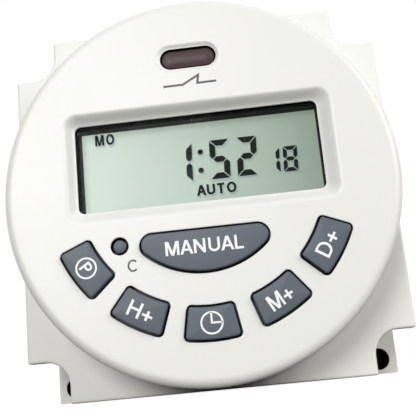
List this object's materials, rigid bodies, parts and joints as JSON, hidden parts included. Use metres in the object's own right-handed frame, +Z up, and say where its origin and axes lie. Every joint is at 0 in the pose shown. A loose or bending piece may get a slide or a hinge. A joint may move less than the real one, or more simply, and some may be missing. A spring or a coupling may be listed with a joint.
{
  "type": "din rail timer",
  "caption": "Weekly digital time switch with a round face, LCD window and curved keys on a square notched flange, with mounting ears and a rail channel behind.",
  "frame": {"origin": "centre of the rail seat, the floor of the channel across the back", "axes": "+X to the right and +Z up as the face is read, +Y out of the back into the rail; the face looks towards -Y"},
  "size_m": [0.06, 0.0326, 0.06],
  "materials": {
    "face_white": "satin moulded",
    "housing_white": "satin moulded",
    "window_clear": "clear polished",
    "lens_smoke": "smoked, polished",
    "frame_black": "matt",
    "lcd_glass": "matt polariser",
    "lcd_mirror": "satin reflector",
    "zebra_rubber": "matt",
    "key_slate": "satin moulded",
    "mat_silicone": "matt",
    "carbon_pill": "matt",
    "board_green": "solder mask",
    "board_tan": "paper board",
    "zinc_steel": "zinc plated",
    "led_red": "clear epoxy",
    "epoxy_black": "matt",
    "can_steel": "satin",
    "battery_green": "shrink sleeve",
    "chip_black": "moulded epoxy",
    "brass_bright": "satin",
    "clip_plastic": "satin moulded",
    "spring_steel": "bright",
    "capacitor_box": "potted box",
    "capacitor_sleeve": "shrink sleeve",
    "varistor_blue": "dipped",
    "diode_black": "moulded",
    "resistor_body": "lacquered",
    "relay_blue": "moulded",
    "relay_black": "moulded",
    "bobbin_white": "moulded",
    "copper_wire": "enamelled copper",
    "contact_copper": "copper alloy"
  },
  "bodies": {
    "case": {"front_bezel": "face_white", "display_window": "window_clear", "indicator_lens": "lens_smoke", "lcd_frame": "frame_black", "lcd_front_glass": "lcd_glass", "lcd_rear_glass": "lcd_glass", "lcd_reflector": "lcd_mirror", "zebra_strip": "zebra_rubber", "keypad_mat": "mat_silicone", "contact_pills": "carbon_pill", "logic_board": "board_green", "board_screws": "zinc_steel", "indicator_led": "led_red", "controller_blob": "epoxy_black", "crystal": "can_steel", "backup_battery": "battery_green", "surface_chips": "chip_black", "flange_housing": "housing_white", "rear_base": "housing_white", "case_screws": "zinc_steel", "terminal_bars": "brass_bright", "terminal_clamps": "zinc_steel", "terminal_screws": "zinc_steel", "clip_spring": "spring_steel", "power_board": "board_tan", "film_capacitor": "capacitor_box", "smoothing_capacitor": "capacitor_sleeve", "varistor": "varistor_blue", "rectifier_diodes": "diode_black", "power_resistors": "resistor_body", "link_pins": "brass_bright", "link_header": "relay_black", "link_socket": "relay_black", "relay_case": "relay_blue", "relay_base": "relay_black", "relay_bobbin": "bobbin_white", "relay_winding": "copper_wire", "relay_yoke": "zinc_steel", "fixed_contact": "contact_copper"},
    "key_program": {"key_program": "key_slate"},
    "key_hour": {"key_hour": "key_slate"},
    "key_clock": {"key_clock": "key_slate"},
    "key_minute": {"key_minute": "key_slate"},
    "key_day": {"key_day": "key_slate"},
    "key_manual": {"key_manual": "key_slate"},
    "key_reset": {"key_reset": "key_slate"},
    "rail_clip": {"rail_clip": "clip_plastic"},
    "relay_armature": {"relay_armature": "zinc_steel", "moving_contact": "contact_copper"}
  },
  "joints": [
    {"name": "press_program", "type": "slide", "parent": "case", "child": "key_program", "axis": [0, 1, 0], "range_m": [0, 0.0008], "stiffness_N_per_m": 300},
    {"name": "press_hour", "type": "slide", "parent": "case", "child": "key_hour", "axis": [0, 1, 0], "range_m": [0, 0.0008], "stiffness_N_per_m": 300},
    {"name": "press_clock", "type": "slide", "parent": "case", "child": "key_clock", "axis": [0, 1, 0], "range_m": [0, 0.0008], "stiffness_N_per_m": 300},
    {"name": "press_minute", "type": "slide", "parent": "case", "child": "key_minute", "axis": [0, 1, 0], "range_m": [0, 0.0008], "stiffness_N_per_m": 300},
    {"name": "press_day", "type": "slide", "parent": "case", "child": "key_day", "axis": [0, 1, 0], "range_m": [0, 0.0008], "stiffness_N_per_m": 300},
    {"name": "press_manual", "type": "slide", "parent": "case", "child": "key_manual", "axis": [0, 1, 0], "range_m": [0, 0.0008], "stiffness_N_per_m": 300},
    {"name": "press_reset", "type": "slide", "parent": "case", "child": "key_reset", "axis": [0, 1, 0], "range_m": [0, 0.0008], "stiffness_N_per_m": 300},
    {"name": "clip_slide", "type": "slide", "parent": "case", "child": "rail_clip", "axis": [0, 0, -1], "range_m": [0, 0.0025], "stiffness_N_per_m": 900, "deforming": ["clip_spring"]},
    {"name": "armature_tilt", "type": "hinge", "parent": "case", "child": "relay_armature", "pos_m": [-0.0072, -0.0055, -0.00795], "axis": [0, 0, -1], "range_deg": [0, 6], "stiffness_Nm_per_rad": 0.002}
  ]
}
